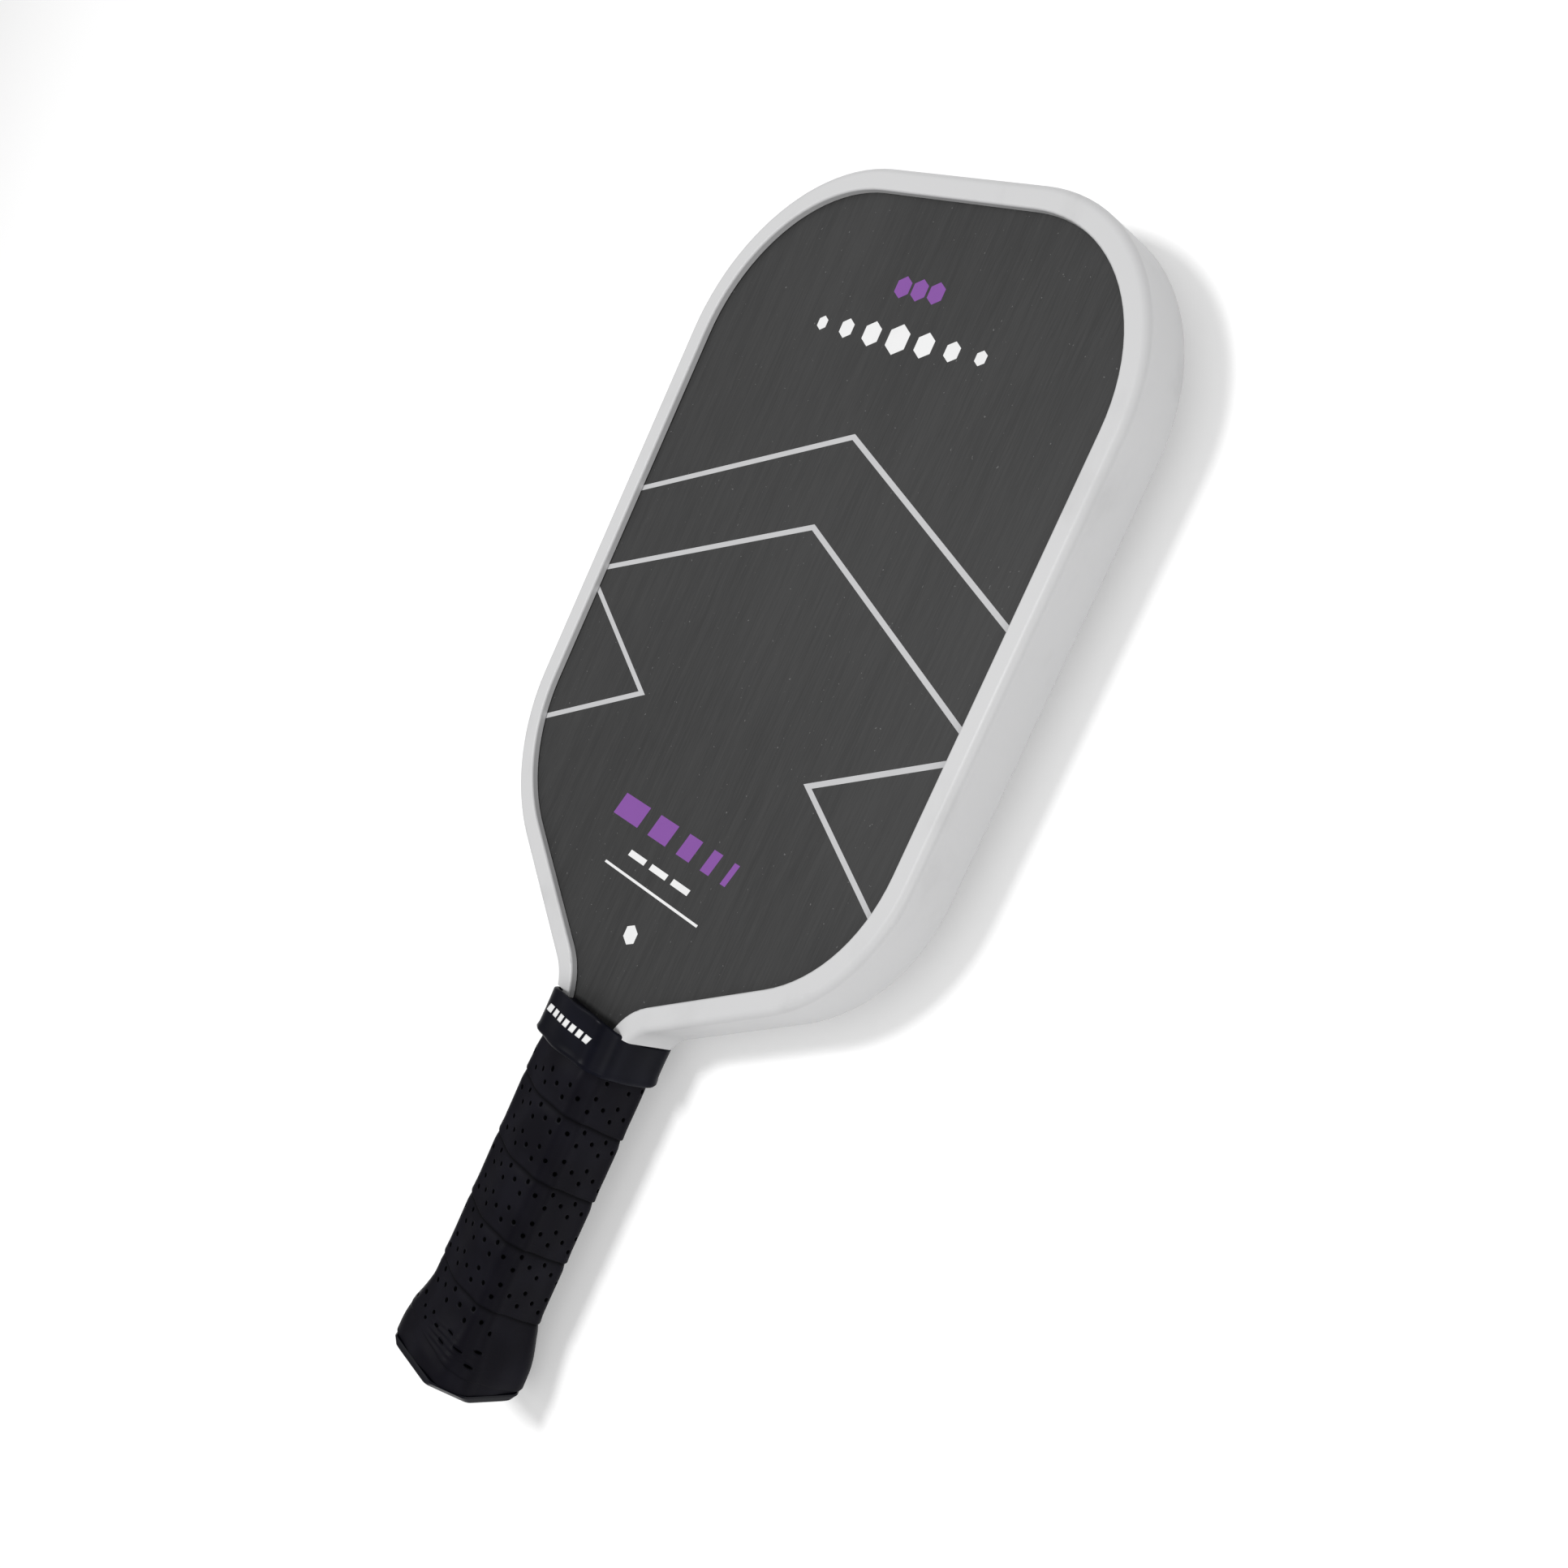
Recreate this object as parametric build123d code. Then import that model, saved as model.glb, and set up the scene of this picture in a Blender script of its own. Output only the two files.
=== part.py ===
from build123d import *
import os
from math import cos, hypot, pi, radians, sin, sqrt, tan

# Pickleball paddle lying face up: +X across, +Y from the butt towards the head, +Z out of the front
# face. The origin is at the centre of the bottom of the whole paddle's box. Sizes in millimetres.

# Driving dimensions
OVERALL_LENGTH = 410.0
OVERALL_WIDTH = 194.5
GRIP_LENGTH = 128.0            # from the collar's top rim to the end of the butt
CORE_THICKNESS = 14.3
FILM_THICKNESS = 0.1
SHEET_THICKNESS = 0.5
GUARD_THICKNESS = 20.8         # over both lips of the edge guard

# Outline of the head, taken at the edge guard's outer wall
CROWN_RADIUS = 64.3            # the two corners at the top
SHOULDER_RADIUS = 64.0         # the two corners at the bottom
SHOULDER_HEIGHT = 87.4         # height of the lower corners' centres above the collar's rim
SHOULDER_SLOPE = 33.0          # degrees from the X axis, between the lower corners and the neck
NECK_RADIUS = 16.0
NECK_HALF_WIDTH = 19.6         # where the neck's arcs turn parallel to the handle

# Edge guard
GUARD_WALL = 2.05
GUARD_LIP = 7.7                # from the outer wall to the lip's free edge
LIP_GAP = 0.15                 # between a lip and the face sheet under it
GUARD_EDGE_RADIUS = 2.4
LIP_EDGE_RADIUS = 0.8
TAB_HALF_WIDTH = 16.8          # the guard's two ends, tucked under the collar
TAB_LENGTH = 10.0
RIM_GAP = 0.35                 # between the collar's rim and the guard's shoulder above it
PANEL_INSET = 2.6              # from the guard's outer wall to the panel's edge
TAPE_THICKNESS = 0.4
TAPE_WIDTH = 12.0

# Honeycomb core
CELL_ACROSS_FLATS = 12.0
CELL_WALL = 0.5
RIM_MARGIN = 1.2               # least solid core between a cell and the panel's edge

# Handle: an octagon made of the panel's tongue and two pallets
HANDLE_HALF_WIDTH = 15.15
HANDLE_HALF_DEPTH = 12.5
HANDLE_CHAMFER = 3.3
HANDLE_CORNER = 2.5
TONGUE_HALF_WIDTH = 13.5
TONGUE_SHOULDER = 2.7          # height above the rim at which the neck steps in to the tongue
BOND_GAP = 0.02
PALLET_TOP = 0.9               # below the collar's rim

# Butt cap
CAP_START = 103.0              # below the collar's rim
CAP_SOCKET_DEPTH = 1.5         # how far the pallets step in inside the cap
CAP_FLOOR = 5.5
CAP_FLARE = 3.9
FLARE_START = 100.0
FLARE_END = 121.5
RIM_START = 125.2
RIM_HALF_WIDTH = 21.0
RIM_HALF_DEPTH = 19.1
RIM_CHAMFER = 8.6
RIM_END_CHAMFER = 11.4
RIM_CORNER = 4.0
RIM_EASING = 0.9               # how far the rim draws in at its very end
BADGE_RADIUS = 10.5
BADGE_THICKNESS = 1.2
STAPLE_CROWN = 10.0
STAPLE_WIRE = 0.8
STAPLE_LEG = 5.0
STAPLE_PLACE = 114.0
STAPLE_CLEARANCE = 0.05

# Grip: one strip of cushion tape wound up the handle, each turn lapped over the one below
WRAP_START = 125.1
WRAP_END = 10.8
WRAP_LAP = 3.0
WRAP_STATIONS = 94             # sixteen to a turn
WRAP_GAP = 0.55
WRAP_EDGE = 0.5
WRAP_BED = 0.12                # the adhesive under the strip
WRAP_THICKNESS = 1.65
WRAP_SKIVE = 7.0

# Finishing tape and collar
FINISH_TAPE_OFFSET = 2.2
FINISH_TAPE_THICKNESS = 0.3
FINISH_TAPE_LENGTH = 13.0
COLLAR_OFFSET = 2.8
COLLAR_WALL = 1.3
COLLAR_LENGTH = 14.0
COLLAR_EDGE = 0.5

# Worked out from the above
RIM_Y = GRIP_LENGTH - OVERALL_LENGTH / 2
MID_Z = RIM_HALF_DEPTH
HALF_WIDTH = OVERALL_WIDTH / 2
HEAD_TOP = OVERALL_LENGTH - GRIP_LENGTH
SLOPE = radians(SHOULDER_SLOPE)
SHEET_OUTSIDE = CORE_THICKNESS / 2 + FILM_THICKNESS + SHEET_THICKNESS + 2 * BOND_GAP
GUARD_HALF = GUARD_THICKNESS / 2
TONGUE_END = -(GRIP_LENGTH - CAP_FLOOR - 0.2)
FAR = 40.0                     # how far a cutting shape or a rough shape runs past what it makes


def placed(shape):
    """Move a shape from the modelling frame, with its zero at the collar's rim, to the part's."""
    return Pos(0, RIM_Y, MID_Z) * shape


# ---------------------------------------------------------------- outline of the head


def outline_points(inset):
    """Centres, tangent points and radii of the right half of the head's outline, moved in by inset."""
    crown = CROWN_RADIUS - inset
    shoulder = SHOULDER_RADIUS - inset
    neck = NECK_RADIUS + inset
    crown_x = HALF_WIDTH - CROWN_RADIUS
    crown_y = HEAD_TOP - CROWN_RADIUS
    shoulder_x = HALF_WIDTH - SHOULDER_RADIUS
    slope_start = (shoulder_x + shoulder * sin(SLOPE), SHOULDER_HEIGHT - shoulder * cos(SLOPE))
    neck_x = NECK_HALF_WIDTH + NECK_RADIUS
    slope_end_x = neck_x - neck * sin(SLOPE)
    slope_end = (slope_end_x, slope_start[1] - (slope_start[0] - slope_end_x) * tan(SLOPE))
    neck_y = slope_end[1] - neck * cos(SLOPE)
    return {
        "crown": (crown_x, crown_y, crown),
        "shoulder": (shoulder_x, SHOULDER_HEIGHT, shoulder),
        "slope_start": slope_start,
        "slope_end": slope_end,
        "neck": (neck_x, neck_y, neck),
    }


def arc_mid(centre_x, centre_y, radius, start_angle, end_angle):
    """The point half way along an arc, whose angles are in radians."""
    middle = (start_angle + end_angle) / 2
    return (centre_x + radius * cos(middle), centre_y + radius * sin(middle))


def head_face(inset, neck_bottom):
    """The head's outline, moved in by inset and carried down the neck to neck_bottom."""
    pts = outline_points(inset)
    crown_x, crown_y, crown = pts["crown"]
    shoulder_x, shoulder_y, shoulder = pts["shoulder"]
    neck_x, neck_y, neck = pts["neck"]
    side = crown_x + crown
    throat = neck_x - neck
    crown_start = (crown_x, crown_y + crown)
    right = [
        ThreePointArc(crown_start, arc_mid(crown_x, crown_y, crown, pi / 2, 0), (side, crown_y)),
        Line((side, crown_y), (side, shoulder_y)),
        ThreePointArc(
            (side, shoulder_y),
            arc_mid(shoulder_x, shoulder_y, shoulder, 0, SLOPE - pi / 2),
            pts["slope_start"],
        ),
        Line(pts["slope_start"], pts["slope_end"]),
        ThreePointArc(
            pts["slope_end"],
            arc_mid(neck_x, neck_y, neck, pi / 2 + SLOPE, pi),
            (throat, neck_y),
        ),
        Line((throat, neck_y), (throat, neck_bottom)),
    ]
    left = [mirror(edge, about=Plane.YZ) for edge in right]
    top = Line((-crown_x, crown_y + crown), crown_start)
    bottom = Line((throat, neck_bottom), (-throat, neck_bottom))
    return make_face([*right, *left, top, bottom])


def block(x_half, y_low, y_high, z_low, z_high):
    """A box centred on the YZ plane."""
    size = (2 * x_half, y_high - y_low, z_high - z_low)
    return Pos(0, (y_low + y_high) / 2, (z_low + z_high) / 2) * Box(*size)


def above(y):
    """A rectangle that covers the whole head above a height."""
    return Pos(0, y + HEAD_TOP / 2) * Rectangle(2 * OVERALL_WIDTH, HEAD_TOP)


def panel_face(grow=0.0, tongue_end=TONGUE_END):
    """The hitting panel: the head, and the tongue that runs down through the handle."""
    head = head_face(PANEL_INSET - grow, -FAR) & above(TONGUE_SHOULDER - grow)
    tongue_top = TONGUE_SHOULDER + 5
    tongue = Rectangle(2 * (TONGUE_HALF_WIDTH + grow), tongue_top - tongue_end)
    return head + Pos(0, (tongue_top + tongue_end) / 2) * tongue


def panel_half_width(y):
    """Half the panel's width at a height above the collar's rim."""
    pts = outline_points(PANEL_INSET)
    crown_x, crown_y, crown = pts["crown"]
    shoulder_x, shoulder_y, shoulder = pts["shoulder"]
    neck_x, neck_y, neck = pts["neck"]
    if y < TONGUE_SHOULDER:
        return TONGUE_HALF_WIDTH
    if y >= crown_y + crown:
        return 0.0
    if y > crown_y:
        return crown_x + sqrt(crown**2 - (y - crown_y) ** 2)
    if y > shoulder_y:
        return crown_x + crown
    if y > pts["slope_start"][1]:
        return shoulder_x + sqrt(shoulder**2 - (y - shoulder_y) ** 2)
    if y > pts["slope_end"][1]:
        return pts["slope_start"][0] - (pts["slope_start"][1] - y) / tan(SLOPE)
    return neck_x - sqrt(neck**2 - (y - neck_y) ** 2)


# ---------------------------------------------------------------- panel


def honeycomb_cells():
    """The middles of the hexagonal cells that fit inside the panel, in staggered rows."""
    pitch = CELL_ACROSS_FLATS + CELL_WALL
    row_step = pitch * sqrt(3) / 2
    reach = CELL_ACROSS_FLATS / sqrt(3)
    rows = int((HEAD_TOP - TONGUE_END) / row_step) + 1
    cells = []
    for row in range(rows):
        y = TONGUE_END + RIM_MARGIN + reach + row * row_step
        shift = pitch / 2 if row % 2 else 0.0
        narrowest = min(panel_half_width(y + step * reach) for step in (-1.1, -0.5, 0, 0.5, 1.1))
        room = narrowest - RIM_MARGIN - CELL_ACROSS_FLATS / 2
        count = int(HALF_WIDTH / pitch) + 1
        places = [shift + k * pitch for k in range(-count, count)]
        cells += [(x, y) for x in places if abs(x) <= room]
    return cells


def make_core_panel():
    """Honeycomb core: hexagonal tubes standing between the two faces."""
    cell = RegularPolygon(CELL_ACROSS_FLATS / 2, 6, major_radius=False, rotation=30)
    outline = panel_face().face()
    holes = [(Pos(x, y) * cell).face().outer_wire() for x, y in honeycomb_cells()]
    pierced = Face(outline.outer_wire(), holes)
    return Pos(0, 0, -CORE_THICKNESS / 2) * Solid.extrude(pierced, Vector(0, 0, CORE_THICKNESS))


def make_layer(inside, thickness, side):
    """A flat layer of the panel whose inner surface is at the height inside, on side +1 or -1."""
    layer = extrude(panel_face(), thickness)
    bottom = inside if side > 0 else -inside - thickness
    return Pos(0, 0, bottom) * layer


# ---------------------------------------------------------------- edge guard


def guard_outside():
    """The guard's outer form, solid, with its outer edges rounded and its two ends drawn in."""
    rough = extrude(head_face(0, -FAR), GUARD_HALF, both=True)
    head = fillet(rough.faces().filter_by(Axis.Z).edges(), GUARD_EDGE_RADIUS)
    head &= block(OVERALL_WIDTH, RIM_GAP, 2 * HEAD_TOP, -FAR, FAR)
    tabs = block(TAB_HALF_WIDTH, -TAB_LENGTH, TONGUE_SHOULDER, -GUARD_HALF, GUARD_HALF)
    return head + fillet(tabs.edges().filter_by(Axis.Y), GUARD_EDGE_RADIUS / 2)


def make_edge_guard():
    """A U-shaped moulding round the head, whose two ends are tucked under the collar."""
    outside = guard_outside()
    window = extrude(head_face(GUARD_LIP, -FAR), GUARD_HALF + 1, both=True)
    opened = outside - window
    lips = new_edges(outside, window, combined=opened).group_by(Axis.Z)
    opened = fillet(lips[0] + lips[-1], LIP_EDGE_RADIUS)
    cavity = panel_face(PANEL_INSET - GUARD_WALL, -FAR)
    return opened - extrude(cavity, SHEET_OUTSIDE + LIP_GAP, both=True)


def make_guard_tape():
    """Double-sided tape between the panel's edge and the guard's wall."""
    inner = PANEL_INSET - 0.1
    strip = head_face(inner - TAPE_THICKNESS, -FAR) - head_face(inner, -FAR - 1)
    return extrude(strip & above(TONGUE_SHOULDER + 1), TAPE_WIDTH / 2, both=True)


# ---------------------------------------------------------------- handle


def octagon(offset):
    """Half-width, half-depth and chamfer of the handle's octagon, moved outwards by offset."""
    chamfer = HANDLE_CHAMFER + offset * (2 - sqrt(2))
    return HANDLE_HALF_WIDTH + offset, HANDLE_HALF_DEPTH + offset, chamfer


def octagon_face(half_width, half_depth, chamfer, corner, y):
    """An octagon with rounded corners, lying across the handle at height y, facing -Y."""
    flat_x = half_width - chamfer
    flat_z = half_depth - chamfer
    corners = [
        (half_width, -flat_z),
        (half_width, flat_z),
        (flat_x, half_depth),
        (-flat_x, half_depth),
        (-half_width, flat_z),
        (-half_width, -flat_z),
        (-flat_x, -half_depth),
        (flat_x, -half_depth),
    ]
    face = make_face(Polyline(corners, close=True))
    face = fillet(face.vertices(), corner)
    return Plane((0, y, 0), x_dir=(1, 0, 0), z_dir=(0, -1, 0)) * face


def octagon_bar(offset, y_low, y_high):
    """A straight bar with the handle's section, moved outwards by offset."""
    face = octagon_face(*octagon(offset), HANDLE_CORNER + offset, y_high)
    return extrude(face, y_high - y_low)


def handle_feet():
    """Foot points round the bare handle, with outward normals, in winding order.

    The order is from the right side over the front to the left. Each corner has two points, one where
    its rounding starts and one where it ends. Each entry is (x, z, nx, nz).
    """
    half_width, half_depth, chamfer = octagon(0)
    flat_x = half_width - chamfer
    flat_z = half_depth - chamfer
    corners = [
        (half_width, -flat_z, -45.0),
        (half_width, flat_z, 0.0),
        (flat_x, half_depth, 45.0),
        (-flat_x, half_depth, 90.0),
        (-half_width, flat_z, 135.0),
        (-half_width, -flat_z, 180.0),
        (-flat_x, -half_depth, 225.0),
        (flat_x, -half_depth, 270.0),
    ]
    away = HANDLE_CORNER / cos(radians(22.5))
    feet = []
    for x, z, before in corners:
        bisector = radians(before + 22.5)
        centre_x, centre_z = x - away * cos(bisector), z - away * sin(bisector)
        for angle in (radians(before), radians(before + 45)):
            nx, nz = cos(angle), sin(angle)
            feet.append((centre_x + HANDLE_CORNER * nx, centre_z + HANDLE_CORNER * nz, nx, nz))
    return feet


def bare_face(offset, y):
    """The bare handle's section, moved outwards by offset, at height y."""
    points = [(x + offset * nx, y, z + offset * nz) for x, z, nx, nz in handle_feet()]
    return Face(Wire.make_polygon(points, close=True))


def bare_bar(offset, y_low, y_high):
    """A straight bar with the bare handle's section, moved outwards by offset."""
    return Solid.extrude(bare_face(offset, y_low), Vector(0, y_high - y_low, 0))


def make_pallet(side):
    """One half of the handle's thickness, glued to the tongue's face on side +1 or -1."""
    bar = bare_bar(0, -CAP_START, -PALLET_TOP)
    bar += bare_bar(-CAP_SOCKET_DEPTH, TONGUE_END, -CAP_START + 1)
    bar &= block(FAR, -GRIP_LENGTH, 0, SHEET_OUTSIDE + BOND_GAP, FAR)
    between_tabs = NECK_HALF_WIDTH - GUARD_LIP - 0.3
    notch = block(FAR, -TAB_LENGTH - 0.3, 0, 0, FAR) - block(between_tabs, -FAR, 1, 0, FAR)
    bar -= notch
    return bar if side > 0 else mirror(bar, about=Plane.XY)


def flare(depth):
    """How far the cap stands outside the handle's octagon, at a depth below the collar's rim."""
    share = min(max((depth - FLARE_START) / (FLARE_END - FLARE_START), 0.0), 1.0)
    return CAP_FLARE * (1 - cos(pi * share)) / 2


def make_butt_cap():
    """A moulded cup over the end of the handle: it flares out to the rim that ends the grip."""
    depths = [FLARE_START + 3 + 2.2 * k for k in range(10)] + [WRAP_START + 0.1]
    rings = [bare_face(flare(depth), -depth).outer_wire() for depth in depths]
    body = Part() + Solid.make_loft(rings, ruled=True)
    easing_start = RIM_EASING - GRIP_LENGTH
    rim_rings = [
        octagon_face(RIM_HALF_WIDTH - 0.3, RIM_HALF_DEPTH - 0.3, RIM_CHAMFER, RIM_CORNER, -RIM_START),
        octagon_face(RIM_HALF_WIDTH, RIM_HALF_DEPTH, RIM_CHAMFER, RIM_CORNER, -RIM_START - 0.5),
        octagon_face(RIM_HALF_WIDTH, RIM_HALF_DEPTH, RIM_END_CHAMFER - 1, RIM_CORNER, easing_start),
        octagon_face(
            RIM_HALF_WIDTH - RIM_EASING,
            RIM_HALF_DEPTH - RIM_EASING,
            RIM_END_CHAMFER - RIM_EASING,
            RIM_CORNER,
            -GRIP_LENGTH,
        ),
    ]
    body += loft(rim_rings, ruled=True)
    body -= bare_bar(-CAP_SOCKET_DEPTH + 0.1, -GRIP_LENGTH + CAP_FLOOR, -90)
    recess = Rot(90, 0, 0) * Cylinder(BADGE_RADIUS, BADGE_THICKNESS)
    return body - Pos(0, -GRIP_LENGTH + BADGE_THICKNESS / 2, 0) * recess


def make_badge():
    """A plain round insert in the end of the cap."""
    radius = BADGE_RADIUS - 0.05
    thickness = BADGE_THICKNESS - 0.05
    disc = Cylinder(radius, thickness)
    disc = chamfer(disc.edges().sort_by(Axis.Z)[-1], 0.3)
    return Pos(0, -GRIP_LENGTH + thickness / 2, 0) * Rot(90, 0, 0) * disc


def make_staple(side, grow=0.0):
    """A wire staple that pins the cap to the pallet on side +1 or -1."""
    outside = HANDLE_HALF_DEPTH + flare(STAPLE_PLACE) - 0.05
    wire = STAPLE_WIRE + 2 * grow
    leg_length = STAPLE_LEG + 2 * grow
    staple = Pos(0, 0, -STAPLE_WIRE / 2) * Box(STAPLE_CROWN + 2 * grow, wire, wire)
    for x in (-1, 1):
        place = Pos(x * (STAPLE_CROWN - STAPLE_WIRE) / 2, 0, -STAPLE_LEG / 2)
        staple += place * Box(wire, wire, leg_length)
    return Pos(0, -STAPLE_PLACE, side * outside) * Rot(0, 0 if side > 0 else 180, 0) * staple


# ---------------------------------------------------------------- grip


def handle_stations():
    """The handle's foot points and normals, each with its share of a turn along the winding."""
    feet = handle_feet()
    on_tape = [(x + WRAP_THICKNESS * nx, z + WRAP_THICKNESS * nz) for x, z, nx, nz in feet]
    steps = [hypot(x2 - x1, z2 - z1) for (x1, z1), (x2, z2) in zip(on_tape, on_tape[1:] + on_tape[:1])]
    total = sum(steps)
    return [(*foot, sum(steps[:k]) / total) for k, foot in enumerate(feet)]


def strip_edges(turns, pitch):
    """The strip's lower and upper edge after a number of turns, as heights from the collar's rim."""
    raw_top = -WRAP_START + WRAP_LAP + pitch * turns
    return max(-WRAP_START, raw_top - pitch - WRAP_LAP), min(-WRAP_END, raw_top)


def strip_taper(width):
    """How thick a strip of this width is, and over what length it thins to its upper edge."""
    thickness = WRAP_EDGE + (WRAP_THICKNESS - WRAP_EDGE) * min(1.0, width / 9.0)
    return thickness, min(WRAP_SKIVE, 0.75 * width)


def spread(start, end, count):
    """A number of points evenly spaced between two points, without the two themselves."""
    steps = [k / (count + 1) for k in range(1, count + 1)]
    return [tuple(a + (b - a) * step for a, b in zip(start, end)) for step in steps]


def strip_section(turns, pitch):
    """The strip's section after a number of turns: a ring of points, each a height and an offset.

    The strip starts and ends with a slanting cut, so its edge runs square round the handle there.
    Where there is a turn below, its lower edge rides up over that turn. The long sides have points
    along them, so that the strip follows the flare of the butt cap.
    """
    low, high = strip_edges(turns, pitch)
    below_low, below_high = strip_edges(max(turns - 1, 0.0), pitch)
    width = high - low
    full, skive = strip_taper(width)
    full_below, skive_below = strip_taper(below_high - below_low)
    lift = min(max((turns - 0.75) / 0.25, 0.0), 1.0)
    lap_end = min(WRAP_LAP + 0.2, 0.7 * width)
    rise_below = (full_below - WRAP_EDGE) / skive_below
    raised = WRAP_BED + lift * (WRAP_EDGE + rise_below * min(WRAP_LAP, skive_below) + WRAP_GAP)
    raised_end = WRAP_BED + lift * (WRAP_EDGE + rise_below * max(WRAP_LAP - lap_end, 0.0) + WRAP_GAP)
    landing = WRAP_BED + (raised_end - WRAP_BED) * (1 - min(max((width - 4.0) / 2.0, 0.0), 1.0))
    ridge = max(raised + WRAP_EDGE, WRAP_BED + full)
    edge = landing + WRAP_EDGE
    body = max(WRAP_BED + full, edge + 0.1)
    thinning = min(WRAP_LAP, 0.4 * width)
    bed_start = (low + min(WRAP_LAP + 1.5, 0.85 * width), landing)
    bed_end = (high, landing)
    body_start = (high - skive, body)
    body_end = (low + min(WRAP_LAP + 1.2, 0.2 * width), max(body, ridge - 0.1))
    return [
        (low, raised),
        (low + lap_end, raised_end),
        bed_start,
        *spread(bed_start, bed_end, 4),
        bed_end,
        (high, edge),
        (high - thinning, edge + (body - edge) * thinning / skive),
        body_start,
        *spread(body_start, body_end, 3),
        body_end,
        (low + min(0.6, 0.1 * width), ridge),
        (low, ridge - 0.25),
    ]


def wrap_sections():
    """Every section of the strip as 3-D points, one after another up the handle."""
    stations = handle_stations()
    turns_total = WRAP_STATIONS / len(stations)
    last_turn = stations[WRAP_STATIONS % len(stations)][4] + WRAP_STATIONS // len(stations)
    pitch = (WRAP_START - WRAP_END - WRAP_LAP) / (last_turn - 1)
    sections = []
    for k in range(WRAP_STATIONS + 1):
        x, z, nx, nz, share = stations[k % len(stations)]
        turns = k // len(stations) + share
        ring = []
        for y, out in strip_section(turns, pitch):
            offset = flare(-y) + out
            ring.append((x + offset * nx, y, z + offset * nz))
        sections.append(ring)
    return sections, pitch, turns_total


def least_gap(sections, per_turn):
    """The least distance between a section of the strip and the one a turn above it."""

    def to_segment(p, a, b):
        ab = [b[i] - a[i] for i in range(3)]
        ap = [p[i] - a[i] for i in range(3)]
        share = sum(u * v for u, v in zip(ab, ap)) / max(sum(u * u for u in ab), 1e-12)
        share = min(max(share, 0.0), 1.0)
        return sqrt(sum((ap[i] - share * ab[i]) ** 2 for i in range(3)))

    least = 1e9
    for low, high in zip(sections, sections[per_turn:]):
        for ring, other in ((low, high), (high, low)):
            for point in ring:
                for a, b in zip(other, other[1:] + other[:1]):
                    least = min(least, to_segment(point, a, b))
    return least


def make_grip_wrap():
    """The cushion grip: one unbroken strip of tape from the butt to the neck."""
    sections, pitch, turns = wrap_sections()
    wires = [Wire.make_polygon(ring, close=True) for ring in sections]
    wrap = Solid.make_loft(wires, ruled=True)
    print(f"grip_wrap: {turns:.2f} turns, pitch {pitch:.2f} mm, least gap {least_gap(sections, 16):.2f} mm")
    return wrap


# ---------------------------------------------------------------- neck


def make_finishing_tape():
    """Tape round the top of the grip, pressed down over the pallets' ends at the neck."""
    top = -0.2
    outer = octagon_bar(FINISH_TAPE_OFFSET + FINISH_TAPE_THICKNESS, -FINISH_TAPE_LENGTH, top)
    inner = octagon_bar(FINISH_TAPE_OFFSET, -FINISH_TAPE_LENGTH - 1, top - 0.4)
    neck = block(TAB_HALF_WIDTH + 0.1, -5, 5, -GUARD_HALF - 0.1, GUARD_HALF + 0.1)
    recess = NECK_HALF_WIDTH - GUARD_LIP - 0.4
    for side in (-1, 1):
        z_near, z_far = sorted((side * (SHEET_OUTSIDE + 0.1), side * (GUARD_HALF + 1)))
        neck -= block(recess, -6, 6, z_near, z_far)
    return outer - inner - neck


def make_collar():
    """A moulded rubber collar over the top of the grip, free to slide down the handle."""
    outside = COLLAR_OFFSET + COLLAR_WALL
    ring = octagon_bar(outside, -COLLAR_LENGTH, 0) - octagon_bar(COLLAR_OFFSET, -COLLAR_LENGTH - 1, 1)
    ends = ring.faces().filter_by(Axis.Y)
    return fillet(ends.edges(), COLLAR_EDGE)


def build_parts():
    """Every sub-part by its node name, in the part's own frame."""
    half_core = CORE_THICKNESS / 2
    film = half_core + BOND_GAP
    sheet = film + FILM_THICKNESS + BOND_GAP
    front_slot = make_staple(1, STAPLE_CLEARANCE)
    back_slot = make_staple(-1, STAPLE_CLEARANCE)
    parts = {
        "core_panel": make_core_panel(),
        "front_bond_film": make_layer(film, FILM_THICKNESS, 1),
        "back_bond_film": make_layer(film, FILM_THICKNESS, -1),
        "front_face_sheet": make_layer(sheet, SHEET_THICKNESS, 1),
        "back_face_sheet": make_layer(sheet, SHEET_THICKNESS, -1),
        "edge_guard": make_edge_guard(),
        "edge_guard_tape": make_guard_tape(),
        "front_handle_pallet": make_pallet(1) - front_slot,
        "back_handle_pallet": make_pallet(-1) - back_slot,
        "butt_cap": make_butt_cap() - front_slot - back_slot,
        "butt_cap_badge": make_badge(),
        "butt_cap_staples": Compound([make_staple(1).solid(), make_staple(-1).solid()]),
        "grip_wrap": make_grip_wrap(),
        "finishing_tape": make_finishing_tape(),
        "grip_collar": make_collar(),
    }
    return {name: placed(shape) for name, shape in parts.items()}


os.makedirs("parts", exist_ok=True)
for node, solid in build_parts().items():
    export_step(solid, f"parts/{node}.step")
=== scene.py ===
"""Looks of a pickleball paddle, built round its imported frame.

Everything is in metres in the row frame: +X across the paddle, +Y from the butt towards the head and +Z
out of the front face, with the origin at the centre of the bottom of the paddle's box. Heights along the
handle are counted from the collar's top rim, upwards positive.
"""

import logging
import math
from dataclasses import dataclass
from enum import Enum
from typing import Any, Sequence

import bpy
import numpy as np
from mathutils import Matrix, Vector


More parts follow.
